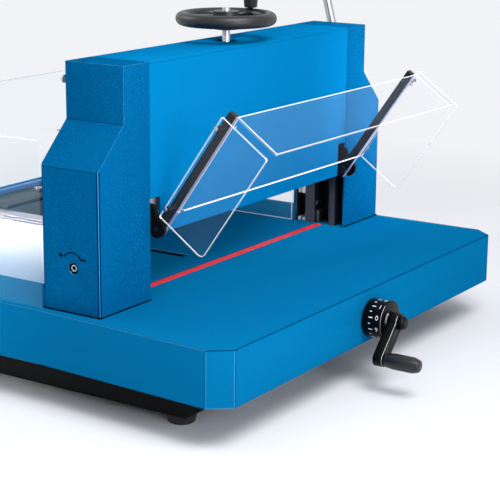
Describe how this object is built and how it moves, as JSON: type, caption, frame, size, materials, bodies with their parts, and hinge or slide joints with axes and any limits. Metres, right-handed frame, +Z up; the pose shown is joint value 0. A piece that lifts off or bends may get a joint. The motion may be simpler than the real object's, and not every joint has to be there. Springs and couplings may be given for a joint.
{
  "type": "stack paper cutter",
  "caption": "Table-top guillotine for paper stacks with a hinged clear front guard, lever-driven knife, screw clamp and cranked back gauge.",
  "frame": {"origin": "centre of the four mounting bolts, on the underside of the base rails", "axes": "+X to the right along the cut as the user stands in front, +Y to the rear, +Z up"},
  "size_m": [0.672, 0.827, 0.7558],
  "materials": {
    "blue_coat": "fine textured powder coat",
    "black_coat": "satin black powder coat",
    "dark_steel": "machined and oiled dark casting",
    "bright_steel": "fine turned finish",
    "knife_steel": "ground finish",
    "bronze": "plain bearing bronze",
    "rubber": "matt moulded rubber",
    "stick_red": "matt extruded plastic",
    "clear": "clear polished plastic sheet",
    "black_plastic": "matt moulded plastic",
    "guide_light": "light satin anodised aluminium",
    "guide_edge": "satin anodised aluminium",
    "gauge_grey": "dark satin aluminium",
    "gauge_top_grey": "dark satin aluminium",
    "strip_blue": "matt plastic strip",
    "zinc": "zinc plated",
    "arm_grey": "dark anodised flat bar"
  },
  "bodies": {
    "frame": {"table_top": "blue_coat", "base_side_rails": "black_coat", "base_cross_rails": "black_coat", "feet": "rubber", "stick_bed": "dark_steel", "cutting_stick": "stick_red", "left_side_frame": "dark_steel", "right_side_frame": "dark_steel", "left_guide_bars": "dark_steel", "right_guide_bars": "dark_steel", "guide_fittings": "bright_steel", "left_column_cover": "blue_coat", "right_column_cover": "blue_coat", "front_panel": "blue_coat", "top_cover": "blue_coat", "rear_panel": "blue_coat", "crossbeam": "dark_steel", "crossbeam_bolts": "bright_steel", "shaft_bushes": "bronze", "lever_bearing": "black_coat", "guard_brackets": "black_coat", "guard_pins": "dark_steel", "rear_guard": "clear", "rear_guard_brackets": "zinc", "side_guide": "guide_light", "side_guide_cap": "guide_edge", "spindle_bearings": "dark_steel"},
    "knife_slide": {"knife_carrier": "dark_steel", "knife": "knife_steel", "knife_bolts": "bright_steel", "racks": "bright_steel"},
    "drive": {"drive_shaft": "bright_steel", "sectors": "bright_steel", "lever_hub": "black_coat", "lever_bar": "bright_steel", "lever_grip": "black_plastic"},
    "clamp": {"clamp_beam": "dark_steel", "clamp_tube": "bright_steel"},
    "clamp_wheel": {"clamp_screw": "bright_steel", "hand_wheel": "black_plastic"},
    "wheel_grip": {"wheel_knob": "black_plastic"},
    "guard": {"left_guard_arm": "arm_grey", "right_guard_arm": "arm_grey", "guard_sheet": "clear", "left_guard_cheek": "clear", "right_guard_cheek": "clear", "guard_spacers": "bright_steel", "guard_screws": "black_plastic"},
    "gauge": {"gauge_body": "gauge_grey", "gauge_top": "gauge_top_grey", "gauge_strip": "strip_blue", "gauge_bolts": "bright_steel", "gauge_carriage": "dark_steel"},
    "crank": {"gauge_spindle": "bright_steel", "crank_dial": "black_coat", "crank_arm": "black_coat", "crank_cap": "black_coat"},
    "crank_handle": {"crank_grip": "black_plastic"},
    "left_adjuster": {"left_adjust_screw": "bright_steel"},
    "right_adjuster": {"right_adjust_screw": "bright_steel"}
  },
  "joints": [
    {"name": "lever_turn", "type": "hinge", "parent": "frame", "child": "drive", "pos_m": [0, -0.138, 0.272], "axis": [1, 0, 0], "range_deg": [0, 92.39]},
    {"name": "knife_stroke", "type": "slide", "parent": "frame", "child": "knife_slide", "axis": [0, 0, -1], "range_m": [0, 0.0775]},
    {"name": "wheel_turn", "type": "hinge", "parent": "frame", "child": "clamp_wheel", "pos_m": [0, -0.1534, 0.4], "axis": [0, 0, -1], "range_deg": [0, 2696]},
    {"name": "clamp_stroke", "type": "slide", "parent": "frame", "child": "clamp", "axis": [0, 0, -1], "range_m": [0, 0.075]},
    {"name": "wheel_grip_spin", "type": "hinge", "parent": "clamp_wheel", "child": "wheel_grip", "pos_m": [0.054, -0.1534, 0.41], "axis": [0, 0, 1], "continuous": true},
    {"name": "guard_lift", "type": "hinge", "parent": "frame", "child": "guard", "pos_m": [0, -0.2075, 0.1844], "axis": [1, 0, 0], "range_deg": [-10, 57]},
    {"name": "crank_turn", "type": "hinge", "parent": "frame", "child": "crank", "pos_m": [-0.03, -0.4, 0.065], "axis": [0, -1, 0], "range_deg": [-2519, 4319]},
    {"name": "gauge_travel", "type": "slide", "parent": "frame", "child": "gauge", "axis": [0, 1, 0], "range_m": [-0.14, 0.24]},
    {"name": "crank_grip_spin", "type": "hinge", "parent": "crank", "child": "crank_handle", "pos_m": [-0.06473, -0.42, 0.02903], "axis": [0, 1, 0], "continuous": true},
    {"name": "left_adjust_turn", "type": "hinge", "parent": "frame", "child": "left_adjuster", "pos_m": [-0.3, -0.163, 0.152], "axis": [1, 0, 0], "range_deg": [-180, 180]},
    {"name": "right_adjust_turn", "type": "hinge", "parent": "frame", "child": "right_adjuster", "pos_m": [0.3, -0.163, 0.152], "axis": [1, 0, 0], "range_deg": [-180, 180]}
  ],
  "couplings": [
    {"joint": "knife_stroke", "follows": "lever_turn", "m_per_rad": 0.048},
    {"joint": "clamp_stroke", "follows": "wheel_turn", "m_per_rad": 0.0015915},
    {"joint": "gauge_travel", "follows": "crank_turn", "m_per_rad": 0.0031831}
  ]
}
